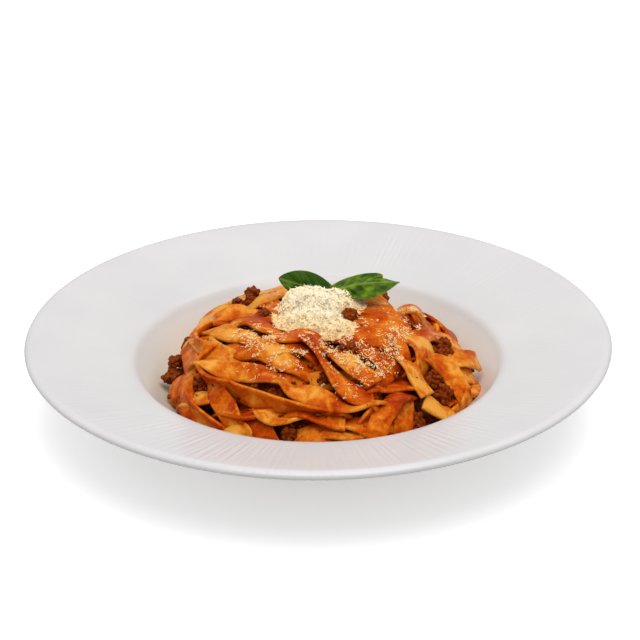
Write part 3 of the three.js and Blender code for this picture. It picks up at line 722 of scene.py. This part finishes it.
def lay_ribbon(pile, sauce, stops, start=TUCKED, end=TUCKED, ceiling=None, seed=0):
    """Lays a ribbon on the pile and returns its points, faces and sauce share. Its section is a flat
    strip with rounded sides, cupped and ruffled a little, carried along a smooth path over the dome.
    With a ceiling it rests wherever it falls, and without one it keeps the lifts of its stops and gives
    way to what is under it."""
    local = np.random.default_rng(seed)
    curve = ribbon_curve(np.array(stops, float), start, end)
    spots, lean, wanted = curve[:, :2], np.radians(curve[:, 2]), curve[:, 3]
    run = np.arange(len(curve), dtype=float)

    # Its own directions, and how far a millimetre to its side is on the map.
    place, normal = dome(spots)
    ahead = unit(np.gradient(place, axis=0))
    side = unit(np.cross(ahead, normal))
    normal = np.cross(side, ahead)
    ahead_flat = unit(np.gradient(spots, axis=0))
    side_flat = np.stack([ahead_flat[:, 1], -ahead_flat[:, 0]], axis=1)
    moved = np.sum((dome(spots + side_flat)[0] - place) * side, axis=1)
    side_flat *= np.sign(moved)[:, None]
    per_map = 1 / np.maximum(np.abs(moved), 0.4)

    # It tilts with the pile under it, and is lifted where a part of it would lie below the pile.
    across = np.linspace(-0.5, 0.5, 13) * RIBBON_WIDTH
    thin = RIBBON_THICKNESS / 2

    def under(tilt):
        reach = across[None, :] * np.cos(tilt)[:, None] * per_map[:, None]
        return spots[:, None, :] + reach[..., None] * side_flat[:, None, :]

    ground = pile.at(under(lean))
    natural = np.arctan(np.sum(ground * across, axis=1) / np.sum(across**2))
    natural = np.clip(soften(natural, 4.0), -0.5, 0.5) * np.cos(lean) ** 2
    tilt = soften(lean + (0.2 if ceiling is None else 0.85) * natural, 1.5)
    sine, cosine = np.sin(tilt), np.cos(tilt)
    ground = pile.at(under(tilt))
    counted = cosine[:, None] ** 2
    need = ground - across[None, :] * sine[:, None] * counted + thin * cosine[:, None]
    if ceiling is None:
        lift = wanted + 0.5 * soften(np.maximum(need.max(axis=1) - wanted, 0), 2.5)
    else:
        lift = resting_lift(need.max(axis=1), ceiling)
    from_start, from_end = (np.clip(1 - way / DIP_RUN, 0, 1) for way in (run, run[::-1]))
    lift -= start * from_start**2 + end * from_end**2
    pile.cover(under(tilt), lift[:, None] + across[None, :] * sine[:, None] + thin * cosine[:, None])

    # Its skin.
    middle = place + lift[:, None] * normal
    ahead = unit(np.gradient(middle, axis=0))
    breadth = side * cosine[:, None] + normal * sine[:, None]
    breadth = unit(breadth - ahead * np.sum(breadth * ahead, axis=1, keepdims=True))
    face = np.cross(breadth, ahead)
    share = np.concatenate([ACROSS, ACROSS[::-1]])
    thick = np.concatenate([THICK, -THICK]) * thin
    wide = 0.5 * RIBBON_WIDTH * (1 + 0.04 * np.sin(run / 9 + local.uniform(0, 6)))
    cup = local.uniform(-0.5, 0.9)
    ruffle = local.uniform(0.1, 0.5)
    wave = ruffle * np.sin(run / local.uniform(2.6, 5.0) + local.uniform(0, 6))
    edge = np.abs(share) ** 3 * np.sign(share)
    rise = cup * (share**2 - 0.35)[None, :] + wave[:, None] * edge[None, :]
    rise = rise + thick[None, :] * (1 + 0.1 * np.sin(run / 5 + local.uniform(0, 6)))[:, None]
    points = middle[:, None] + breadth[:, None] * (share[None, :] * wide[:, None])[..., None]
    points = points + face[:, None] * rise[..., None]

    # It stays inside the well's wall.
    flat_radius = np.linalg.norm(points[..., :2], axis=-1)
    room = wall_radius(points[..., 2]) - 0.5
    low = points[..., 2] < EDGE_HEIGHT - 2
    points[..., :2] *= np.where(low & (flat_radius > room), room / flat_radius, 1.0)[..., None]

    # The sauce share rises with depth in the heap, so ribbons there are darker and redder; it varies in
    # patches, is higher just inside the edges and lower at the edges themselves.
    _, height = map_spot(points)
    deep = np.clip((-2.0 - height) / 5, 0, 1)
    border = np.interp(np.abs(share), [0, 0.4, 0.85, 0.95, 1], [-0.08, -0.04, 0.10, 0.0, -0.12])
    pooled = 0.13 * waves(points, 26, 71, 2)
    along = 0.10 * np.sin(run / 8 + local.uniform(0, 6))
    values = sauce + border[None, :] + 0.45 * deep + pooled + along[:, None]
    return (*closed_strip(points), values.ravel())


def strewn_stops(local, azimuths, ups, swirl):
    """Stops of a ribbon thrown on the heap: it starts anywhere in the given stretch, heads mostly
    round the heap, and its heading drifts, with a stop at each stride of the map."""
    stride, furthest = 9.0, MAP_RADIUS * 0.95
    azimuth = local.uniform(*azimuths)
    up = local.uniform(*ups)
    spots = [to_map(azimuth, up)]
    heading = np.radians(azimuth) + local.choice([0, np.pi]) + local.normal(0, swirl)
    drift = local.normal(0, 0.16)
    for _ in range(local.integers(4, 8)):
        heading += drift + local.normal(0, 0.12)
        step = spots[-1] + stride * np.array([np.cos(heading), np.sin(heading)])
        spots.append(step * min(1.0, furthest / np.linalg.norm(step)))
    spots = np.array(spots)
    out = np.linalg.norm(spots, axis=1)
    azimuths = np.degrees(np.arctan2(spots[:, 0], -spots[:, 1]))
    return np.column_stack([azimuths, 1 - out / MAP_RADIUS, 0 * out, 0 * out])


def strew(pile, count, azimuths, ups, swirl, sauces, ceiling, seed):
    """Many ribbons thrown on the heap, but for those that would come to lie over a low lump of meat."""
    local = np.random.default_rng(seed)
    lumps, _ = map_spot(np.array([sum(box_mm(name)) / 2 for name in MEAT_NODES]))
    low_down = np.linalg.norm(lumps, axis=1) > 0.5 * MAP_RADIUS
    lumps = lumps[low_down]
    laid = []
    for index in range(count):
        stops = strewn_stops(local, azimuths, ups, swirl)
        sauce = local.uniform(*sauces)
        path = rounded(to_map(stops[:, 0], stops[:, 1]))
        clear = np.linalg.norm(path[:, None] - lumps, axis=-1).min() >= 0.7 * RIBBON_WIDTH
        if clear:
            laid.append(lay_ribbon(pile, sauce, stops, ceiling=ceiling, seed=seed * 100 + index))
    return laid


def make_core(material):
    """Sauce and buried pasta: the dome CORE_LIFT under its surface, bumpy, closed below by the well."""
    rows, columns, nearly_top = 70, 220, 0.995
    up = np.linspace(0.0, nearly_top, rows)
    azimuth = np.linspace(-180, 180, columns, endpoint=False)
    grid_up, grid_azimuth = np.meshgrid(up, azimuth, indexing="ij")
    place, normal = dome(to_map(grid_azimuth, grid_up))
    bumps = CORE_BUMPS * waves(place, 22, 3) + 0.55 * waves(place, 5, 8, 2)
    upper = place + (CORE_LIFT + 0.3 + bumps)[..., None] * normal
    radius = np.array([0.5, 40.0, 58.0])[:, None]
    height = np.array([FLOOR_HEIGHT + 0.4, FLOOR_HEIGHT + 0.6, 12.0])[:, None]
    points, faces = closed_stack(np.concatenate([around(radius, np.radians(azimuth), height), upper]))
    make_piece("ragu_core", points, faces, material)


# ---- Meat ----


def lump(centre, sizes, seed, rows=46, columns=70, balls=70):
    """A lump of mince: seen from its middle, the surface is the furthest of many small balls that
    crowd together, and finer grains are raised on it. The two parameters are the angles, and lengths
    are shares of its half size until the last step stretches it to its sizes."""
    local = np.random.default_rng(seed)
    tilt = np.linspace(np.pi, 0, rows + 2)[1:-1]
    turn = np.linspace(0, 2 * np.pi, columns, endpoint=False)
    tilt, turn = np.meshgrid(tilt, turn, indexing="ij")
    way = np.stack([np.sin(tilt) * np.cos(turn), np.sin(tilt) * np.sin(turn), np.cos(tilt)], axis=-1)
    middles = unit(local.normal(size=(balls, 3))) * local.uniform(0.45, 0.85, (balls, 1))
    radii = local.uniform(0.8, 1.4, balls) * 1.25 / np.sqrt(balls) + 0.04
    toward = way @ middles.T
    inside = radii**2 - np.sum(middles**2, axis=1) + toward**2
    reach = np.where(inside > 0, toward + np.sqrt(np.maximum(inside, 0)), 0)
    reach = np.maximum(reach.max(axis=-1), 0.55)
    points, faces = closed_stack(way * reach[..., None])
    points *= 1 + 0.04 * waves(points, 0.2, seed + 1, 2)[:, None]
    spin, _ = np.linalg.qr(local.normal(size=(3, 3)))
    points = points @ (spin * np.sign(np.linalg.det(spin)))
    points = points / np.abs(points).max(axis=0) * (np.asarray(sizes) / 2) + centre
    return points, faces, np.zeros(len(points))


def make_meat(material):
    """The lumps that have solids, at their solids' places."""
    parts = []
    for index, name in enumerate(MEAT_NODES):
        low, high = box_mm(name)
        parts.append(lump((low + high) / 2, high - low, 40 + index))
    points, faces, _ = joined(parts)
    lumps = make_piece("minced_meat", points, faces, material)
    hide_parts(*MEAT_NODES)


# Heaps of mince between the ribbons: azimuth and up of the middle, spread in millimetres, and count
# of crumbs.
RAGU = [
    (28, 0.68, 3.5, 70), (20, 0.72, 3, 40), (-24, 0.455, 4, 60), (-33, 0.45, 3, 30),
    (-12, 0.42, 3, 30), (-6, 0.16, 4, 70), (-13, 0.16, 3, 40), (-45, 0.13, 4, 60),
    (-38, 0.14, 3, 30), (31, 0.36, 3, 40), (25, 0.24, 2.5, 40), (42, 0.14, 5, 90),
    (48, 0.10, 4, 50), (56, 0.24, 4, 60), (56, 0.34, 4, 50), (-63, 0.34, 3, 40),
    (-58, 0.35, 3, 30), (82, 0.50, 4, 50), (-84, 0.52, 3, 30), (72, 0.84, 4, 50),
    (-32, 0.30, 3, 30), (66, 0.44, 3, 30), (38, 0.47, 3, 30), (-100, 0.30, 4, 40),
    (28, 0.37, 3, 40), (27.5, 0.29, 2.5, 40), (88, 0.87, 3, 50), (-55, 0.335, 3, 30),
    (47, 0.70, 3, 30), (18, 0.745, 3, 40), (45, 0.51, 3, 30), (55, 0.43, 3, 40),
    (-128, 0.54, 2, 24), (2.5, 0.56, 1.2, 14),
]


def strewn_crumbs(pile, spots, size, local, first):
    """Crumbs of meat of the given sizes that lie on the pile, and that raise it. Each is stretched a
    little its own way."""
    place, normal = dome(spots)
    lift = pile.at(spots) + 0.25 * size
    pile.cover(spots, lift + 0.3 * size)
    return [
        lump(middle, wide * local.uniform(0.75, 1.3, 3), first + index, rows=6, columns=8, balls=9)
        for index, (middle, wide) in enumerate(zip(place + normal * lift[:, None], size))
    ]


def heap_ragu(pile):
    """The heaps of mince between the ribbons: crumbs of 1 to 4 mm, larger in the middle."""
    local = np.random.default_rng(61)
    parts = []
    for index, (azimuth, up, spread, count) in enumerate(RAGU):
        away = local.normal(0, spread, (count, 2))
        spots = to_map(azimuth, up) + away
        near = np.exp(-0.5 * np.sum((away / spread) ** 2, axis=1))
        size = local.uniform(1.2, 2.2, count) + 1.8 * near * local.uniform(0, 1, count)
        parts += strewn_crumbs(pile, spots, size, local, 5000 + 200 * index)
    return parts


# Small lumps of mince beside the large ones and at the cheese: middle and sizes.
SMALL_LUMPS = [
    ((14.6, -6, 54.2), (8, 7, 7.5)), ((-66, -5, 31), (8, 7, 7.5)), ((57.5, -9, 40.5), (8, 7, 8)),
    ((56.5, -13, 37.5), (8, 6, 7)), ((-38.5, 36, 42), (6, 5, 4.5)),
]


def small_lumps():
    """The small lumps, shaped like the large ones with fewer points."""
    lumps = enumerate(SMALL_LUMPS)
    return [lump(middle, sizes, 90 + index, rows=26, columns=40) for index, (middle, sizes) in lumps]


def loose_crumbs(pile):
    """Crumbs of meat among the ribbons, half of them under 1 mm. They lie in the gaps, where the pile
    is lower than round it, and a few lie anywhere."""
    local = np.random.default_rng(77)
    tried, wanted = 5200, 420
    spots = to_map(local.uniform(-180, 180, tried), 1 - np.sqrt(local.uniform(0.01, 0.84, tried)))
    in_gap = pile.hollow(spots) > 1.3
    astray = local.uniform(size=tried) < 0.006
    spots = spots[in_gap | astray][:wanted]
    size = 0.7 + 2.2 * local.uniform(size=len(spots)) ** 3
    return strewn_crumbs(pile, spots, size, local, 900)


# ---- Cheese ----

SHREDS = 7600  # on the mound
# Blobs that the mound of cheese is heaped from: x, y, radius and height above the pasta.
MOUND = np.array([
    (-2, 3, 17, 7.5), (-8, 4, 11, 11), (-1, 5, 12, 10.3), (9.5, 5, 10.5, 6.8), (-9, -4, 10, 5.5),
    (7, -11, 9, 4), (-3, -9, 9, 5.5),
])


def mound_height(x, y):
    """Depth of the cheese at a place seen from above: each blob is a rounded cone, and they are added
    by the cube root of the sum of their cubes, so that the deepest counts most."""
    away = np.hypot(x[..., None] - MOUND[:, 0], y[..., None] - MOUND[:, 1]) / MOUND[:, 2]
    depth = MOUND[:, 3] * np.clip(1 - away**2, 0, 1)
    return np.sum(depth**3, axis=-1) ** (1 / 3)


def shreds(place, normal, local, length, width, stand):
    """Shreds of grated cheese as points, faces and tone. Each is a three-sided rod, thinner at its
    ends, on an arc that lies nearly along the surface and may stand up from it."""
    count, sections, sides = len(place), 5, 3
    along = unit(local.normal(size=(count, 3)))
    along = unit(along - normal * np.sum(along * normal, axis=1)[:, None])
    along = unit(along + normal * (stand * local.normal(size=count))[:, None])
    side = unit(np.cross(normal, along))
    rise = np.cross(along, side)
    t = np.linspace(-0.5, 0.5, sections)
    arc = t**2 - 1 / 12
    curl = (local.uniform(-0.9, 0.9, count) * length)[:, None] * arc
    bend = (local.uniform(-1.2, 1.2, count) * length)[:, None] * arc
    middle = place[:, None] + along[:, None] * (length[:, None] * t)[..., None]
    middle = middle + side[:, None] * bend[..., None] + rise[:, None] * curl[..., None]
    taper = width[:, None] * (1 - 0.6 * np.abs(2 * t) ** 3) * 0.5
    turn = np.radians([90, 210, 330])
    corner = np.cos(turn)[:, None] * side[:, None] + 0.8 * np.sin(turn)[:, None] * rise[:, None]
    points = middle[:, :, None] + taper[:, :, None, None] * corner[:, None]
    rod = grid_faces(sections, sides, wrap_columns=True)
    caps = np.array([(0, 1, 2), (2, 1, 0)]) + np.array([[0], [(sections - 1) * sides]])
    offset = (np.arange(count) * sections * sides)[:, None, None]
    tone = np.repeat(local.uniform(0, 1, count), sections * sides)
    faces = [(rod[None] + offset).reshape(-1, 4), (caps[None] + offset).reshape(-1, 3)]
    return points.reshape(-1, 3), faces, tone


def make_cheese(pile, material):
    """The mound: a lumpy core, all over which shreds lie and stand. Seen from the first blob's middle,
    its rim is where the cheese gets thin. The core shows only between the shreds, and is toned yellower
    as painted shade in the pits. Shreds that lie lower are toned yellower too, as painted shade, and
    shreds nearer to the rim are yellower, stained by the sauce."""
    local = np.random.default_rng(31)
    smooth = pile.smooth(3)

    def surface(x, y, share):
        spots = plan_spot(x, y)
        place, normal = dome(spots)
        place = place + normal * smooth[pile.cell(spots)][..., None]
        lumps = np.clip(mound_height(x, y) / 4, 0, 1) * 0.6 * waves(place, 7, 12, 2)
        place[..., 2] += share * mound_height(x, y) + lumps
        return place

    centre, sides, thin = MOUND[0, :2], 120, 0.9
    turn = np.linspace(0, 2 * np.pi, sides, endpoint=False)
    out = np.linspace(0, 34, 120)[:, None]
    deep = mound_height(centre[0] + out * np.cos(turn), centre[1] + out * np.sin(turn)) > thin
    rim = soften(np.max(np.where(deep, out, 0), axis=0), 2.0)
    share = np.linspace(1, 0.02, 40)[:, None]
    x, y = centre[0] + share * rim * np.cos(turn), centre[1] + share * rim * np.sin(turn)
    top = surface(x, y, 0.95)
    top[..., 2] -= 0.6 + 1.5 * share**8
    bottom = surface(0.8 * x[:1], 0.8 * y[:1], 0.0) - [0, 0, 5.0]
    points, faces = closed_stack(np.concatenate([bottom, top]))
    # Painted shade: the core's low tone makes the pits between the shreds look warmly shaded.
    tone = np.full(len(points), 0.25)
    make_piece("cheese_core", points, faces, material, {"tone": tone})

    count = SHREDS
    turn = local.uniform(0, 2 * np.pi, count)
    share = np.sqrt(local.uniform(0, 1.3, count))
    reach = np.interp(turn, np.linspace(0, 2 * np.pi, sides), rim) * share
    x, y = centre[0] + reach * np.cos(turn), centre[1] + reach * np.sin(turn)
    step = 0.6
    place = surface(x, y, 1.0)
    slope_x = surface(x + step, y, 1.0) - place
    slope_y = surface(x, y + step, 1.0) - place
    normal = unit(np.cross(slope_x, slope_y))
    sunk = local.uniform(-0.42, 0.35, count)
    place = place + normal * sunk[:, None]
    length = 1.2 + 3.2 * local.uniform(size=count) ** 1.5
    width = local.uniform(0.34, 0.6, count)
    points, faces, tone = shreds(place, normal, local, length, width, 0.26)
    stained = np.clip(share - 0.5, 0, 1) * np.clip(1.2 - np.cos(turn - 1.2), 0, 1)
    # Painted shade: shreds sunk lower get a yellower tone; those near the rim are stained by the sauce.
    tone = 0.35 * tone + np.repeat(0.62 + 0.4 * sunk - 1.0 * stained, len(tone) // count)
    tone = np.maximum(tone, 0.12)
    piece = make_piece("cheese_shreds", points, faces, material, {"tone": tone}, smooth=False)
    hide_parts("grated_cheese")


# Drifts of loose cheese on the ribbons: azimuth and up of the middle, spread in millimetres, count.
DRIFTS = [
    (-52, 0.69, 4, 170), (-64, 0.67, 3, 80), (-40, 0.69, 4, 150), (-13, 0.70, 1.6, 130),
    (2, 0.69, 3, 60), (15, 0.80, 5, 150), (24, 0.74, 5, 130), (17, 0.62, 4, 130), (21, 0.565, 3, 90),
    (35, 0.695, 3.5, 60), (94, 0.63, 2, 110), (105, 0.715, 4, 100), (40, 0.64, 4, 220),
    (55, 0.65, 3.5, 150), (37, 0.565, 4, 150), (60, 0.65, 3, 60), (46, 0.56, 2.5, 50),
    (11, 0.46, 4, 50), (-45, 0.61, 5, 60), (-24, 0.64, 4, 90), (-23, 0.56, 1.2, 40), (-12, 0.63, 4, 50),
    (84, 0.64, 4, 110), (93, 0.60, 3, 50), (55, 0.83, 3, 60), (27, 0.54, 3, 50), (150, 0.78, 9, 130),
    (-150, 0.80, 9, 130),
]


def make_drifts(pile, material):
    """Loose shreds and dust of cheese that lie where the drifts are, on whatever is there but for the
    gaps, where the pile is lower than round it. A few of the spots are heaped with more and longer
    shreds."""
    local = np.random.default_rng(53)
    spots = np.concatenate(
        [
            to_map(azimuth, up) + local.normal(0, spread, (count // 2, 2))
            for azimuth, up, spread, count in DRIFTS
        ]
    )
    heaped = local.uniform(size=len(spots)) ** 2
    many = 1 + (7 * heaped).astype(int)
    heaped = np.repeat(heaped, many)
    away = local.normal(0, 0.15 + 0.4 * heaped[:, None], (len(heaped), 2))
    spots = np.repeat(spots, many, axis=0) + away
    kept = pile.hollow(spots) < 0.8
    spots, heaped = spots[kept], heaped[kept]
    count = len(spots)
    place, normal = dome(spots)
    length = 0.4 + (1.0 + 1.3 * heaped) * local.uniform(size=count) ** 2
    width = local.uniform(0.2, 0.38, count)
    lift = pile.at(spots) + 0.35 * width + 0.6 * heaped * local.uniform(size=count)
    place = place + normal * lift[:, None]
    points, faces, tone = shreds(place, normal, local, length, width, 0.3)
    tone = 0.15 * tone + np.repeat(0.25 * heaped, len(tone) // count)
    make_piece("cheese_drifts", points, faces, material, {"tone": tone}, smooth=False)


# ---- Basil ----

# Each leaf: stem end, tip, the way its blade faces along its width, its width, and the shape that
# follows. Fold turns its halves up about the midrib in degrees, sag drops its middle in millimetres,
# blunt above 1 rounds its tip, belly above 1 puts its widest place nearer to the tip, and deep is the
# share of deeper green.
LEAVES = {
    "basil_leaf_left": ((10.5, 14, 55.3), (-18, 14, 64.3), (0, -0.6, -0.8), 13.5,
                        dict(fold=16, sag=0.5, blunt=1.0, belly=1.15, deep=0.6)),
    "basil_leaf_back": ((5.5, 15, 57.3), (30.5, 17, 63.8), (0, -0.5, -0.87), 7.5,
                        dict(fold=12, sag=-1.0, blunt=1.5, belly=0.95, deep=0.3)),
    "basil_leaf_right": ((5, 9, 59), (38, 10, 63.3), (0, -0.98, -0.2), 17.5,
                         dict(fold=17, sag=1.5, blunt=0.8, belly=1.12, deep=0.0)),
}
LEAF_THICKNESS = 0.5
VEIN_PAIRS = 6.5
RIB_WIDTH = 0.45  # of the midrib's pale line, from its middle
KEEL_WIDTH = 0.8  # of the groove along it


def make_leaf(name, material):
    """A leaf over two parameters, along and across. The half width is a sine's power along it, the
    halves are folded up and curled back at their edges, and the blade is puffed up between the veins,
    which leave the midrib in pairs and run forward to the edge."""
    stem, tip, across, width, shape = LEAVES[name]
    stem, tip = np.array(stem, float), np.array(tip, float)
    along = unit(tip - stem)
    side = np.array(across, float)
    side = unit(side - along * (side @ along))
    up = np.cross(along, side)
    s = np.linspace(0, 1, 90)[:, None]
    t = np.linspace(-1, 1, 49)[None, :]
    bow = np.sin(np.pi * s ** shape["belly"]) ** (0.7 / shape["blunt"])
    half = width / 2 * np.maximum(bow, 0.03)
    vein_phase = VEIN_PAIRS * (s - 0.2 * np.abs(t) ** 1.1)
    between = 0.5 - 0.5 * np.cos(2 * np.pi * vein_phase)
    fade = np.clip(np.sin(np.pi * s), 0, 1) ** 0.5
    puff = 0.55 * between * np.sin(np.pi * np.abs(t)) ** 0.8 * fade
    keel = -0.5 * np.exp(-((t * half / KEEL_WIDTH) ** 2)) * fade
    folded = np.tan(np.radians(shape["fold"])) * half * (np.abs(t) - 0.35 * t**2)
    ripple = 0.35 * np.sin(9 * s + 2.0) * t**3 + 0.5 * np.sin(5 * s + 1) * t
    height = folded - shape["sag"] * np.sin(np.pi * s) + puff + keel + ripple
    spine = stem + along * (s * np.linalg.norm(tip - stem))
    upper = spine[:, None] + side * (t * half)[..., None] + up * height[..., None]
    thin = LEAF_THICKNESS * np.clip(1.05 - t**4, 0.12, 1)
    lower = upper - up * (thin + 0 * s)[..., None]
    points, faces = closed_strip(np.concatenate([upper[:, ::-1], lower], axis=1))

    # The pale lines: the midrib, the veins and the edge, which show less where the leaf is deep green.
    rib = np.exp(-((t * half / RIB_WIDTH) ** 2))
    near = np.abs(vein_phase - np.round(vein_phase))
    branch = 0.28 * np.exp(-((near / 0.07) ** 2)) * (1 - np.abs(t) ** 4) * fade
    rim = 0.3 * np.clip((np.abs(t) - 0.93) / 0.07, 0, 1)
    vein = np.clip(np.maximum(np.maximum(rib, branch), rim), 0, 1) * (1 - shape["deep"])
    values = np.concatenate([vein[:, ::-1], 0.6 * vein], axis=1)
    greens = {"vein": values.ravel(), "deep": np.full(len(points), shape["deep"])}
    leaf = make_piece(name + "_blade", points, faces, material, greens)
    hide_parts(name)


# ---- Light, floor and camera ----


def area_light(name, place, aim, size, power):
    """A round white lamp at a place, turned to its aim."""
    data = bpy.data.lights.new(name, "AREA")
    data.shape = "DISK"
    data.size = size
    data.energy = power
    light = bpy.data.objects.new(name, data)
    light.location = place
    light.rotation_euler = (Vector(aim) - Vector(place)).to_track_quat("-Z", "Y").to_euler()
    bpy.context.scene.collection.objects.link(light)


def make_stage():
    """A plain pale floor, a white surround, a broad soft light overhead and a little fill. The floor
    glows where it is seen, painted light that makes it white, and glows less under the plate than
    beyond it, a painted soft shadow."""
    mesh = bpy.data.meshes.new("floor")
    reach = 6.0
    corners = [(-reach, -reach, 0), (reach, -reach, 0), (reach, reach, 0), (-reach, reach, 0)]
    mesh.from_pydata(corners, [], [(0, 1, 2, 3)])
    floor = bpy.data.objects.new("floor", mesh)
    bpy.context.scene.collection.objects.link(floor)
    material, tree, where = new_material("white_paper_sweep")
    away = add(tree, "VectorMath", {"operation": "LENGTH"}, in0=where).outputs["Value"]
    # Painted shadow: the glow, seen only by the camera, is weaker within the plate's radius.
    near_to_far = {
        "interpolation_type": "SMOOTHSTEP",
        "from_min": 0.085,
        "from_max": PLATE_RADIUS * MM,
        "to_min": 0.52,
        "to_max": 0.6,
    }
    glow = add(tree, "MapRange", near_to_far, value=away)
    seen = add(tree, "LightPath").outputs["Is Camera Ray"]
    glow = add(tree, "Math", {"operation": "MULTIPLY"}, in0=glow, in1=seen)
    paper = {"base_color": "#d4d4d4", "roughness": 0.9, "specular_ior_level": 0.1}
    lit = {"emission_color": "#ffffff"}
    shader = add(tree, "BsdfPrincipled", paper | lit, emission_strength=glow)
    add(tree, "OutputMaterial", surface=shader)
    mesh.materials.append(material)

    world = bpy.data.worlds.new("surround")
    bpy.context.scene.world = world
    world.use_nodes = True
    background = world.node_tree.nodes["Background"]
    background.inputs["Color"].default_value = linear("#ffffff")
    background.inputs["Strength"].default_value = 0.58

    aim = (0, 0, 0.03)
    area_light("overhead", (0.08, -0.38, 1.25), aim, size=1.15, power=13)
    area_light("behind", (0.15, 0.6, 1.2), aim, size=0.8, power=1.6)


def make_camera():
    """A long lens that looks down on the plate from the diner's side, turned about itself a little."""
    data = bpy.data.cameras.new("camera")
    data.lens = 115.4
    data.sensor_width = 36
    data.shift_x = 0.0031
    data.shift_y = 0.0219
    data.clip_start = 0.05
    camera = bpy.data.objects.new("camera", data)
    bpy.context.scene.collection.objects.link(camera)
    elevation, roll = np.radians(25.7), np.radians(-0.45)
    distance = 0.95
    target = Vector((0, 0, 0.042))
    toward = Vector((0, -np.cos(elevation), np.sin(elevation)))
    camera.location = target + distance * toward
    camera.rotation_euler = (target - camera.location).to_track_quat("-Z", "Y").to_euler()
    camera.rotation_euler.rotate_axis("Z", roll)
    bpy.context.scene.camera = camera


# ---- The object ----

porcelain = glazed_porcelain()
pasta = sauced_pasta()
ragu = meaty_sauce()
mince = browned_mince()
cheese = grated_hard_cheese()
basil = basil_blade()

make_stage()
make_camera()
bpy.context.scene.view_settings.view_transform = "Standard"

make_plate(porcelain)
make_core(ragu)
make_meat(mince)

# Each lot of strewn ribbons: how many, within which azimuths and ups they start, how far they may
# head off the way round, between which sauce shares they are, their ceiling and their seed.
pile = Pile()
under = strew(pile, 64, (-180, 180), (0.02, 0.92), 0.7, (0.35, 0.85), -2.5, 5)
under += strew(pile, 12, (102, 145), (0.05, 0.38), 0.3, (0.2, 0.7), -7.0, 23)
back = strew(pile, 28, (136, 250), (0.04, 0.9), 0.45, (0.15, 0.8), 0.0, 11)
crumbs = heap_ragu(pile)
shown = [lay_ribbon(pile, *ribbon, seed=300 + index) for index, ribbon in enumerate(SHOWN_RIBBONS)]

points, faces, values = joined(under)
make_piece("fettuccine_under", points, faces, pasta, {"sauce": values})
points, faces, values = joined(back + shown)
ribbons = make_piece("fettuccine_ribbons", points, faces, pasta, {"sauce": values})
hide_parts("fettuccine")

points, faces, _ = joined(crumbs + loose_crumbs(pile) + small_lumps())
make_piece("meat_crumbs", points, faces, mince)
make_cheese(pile, cheese)
make_drifts(pile, cheese)
for name in LEAVES:
    make_leaf(name, basil)
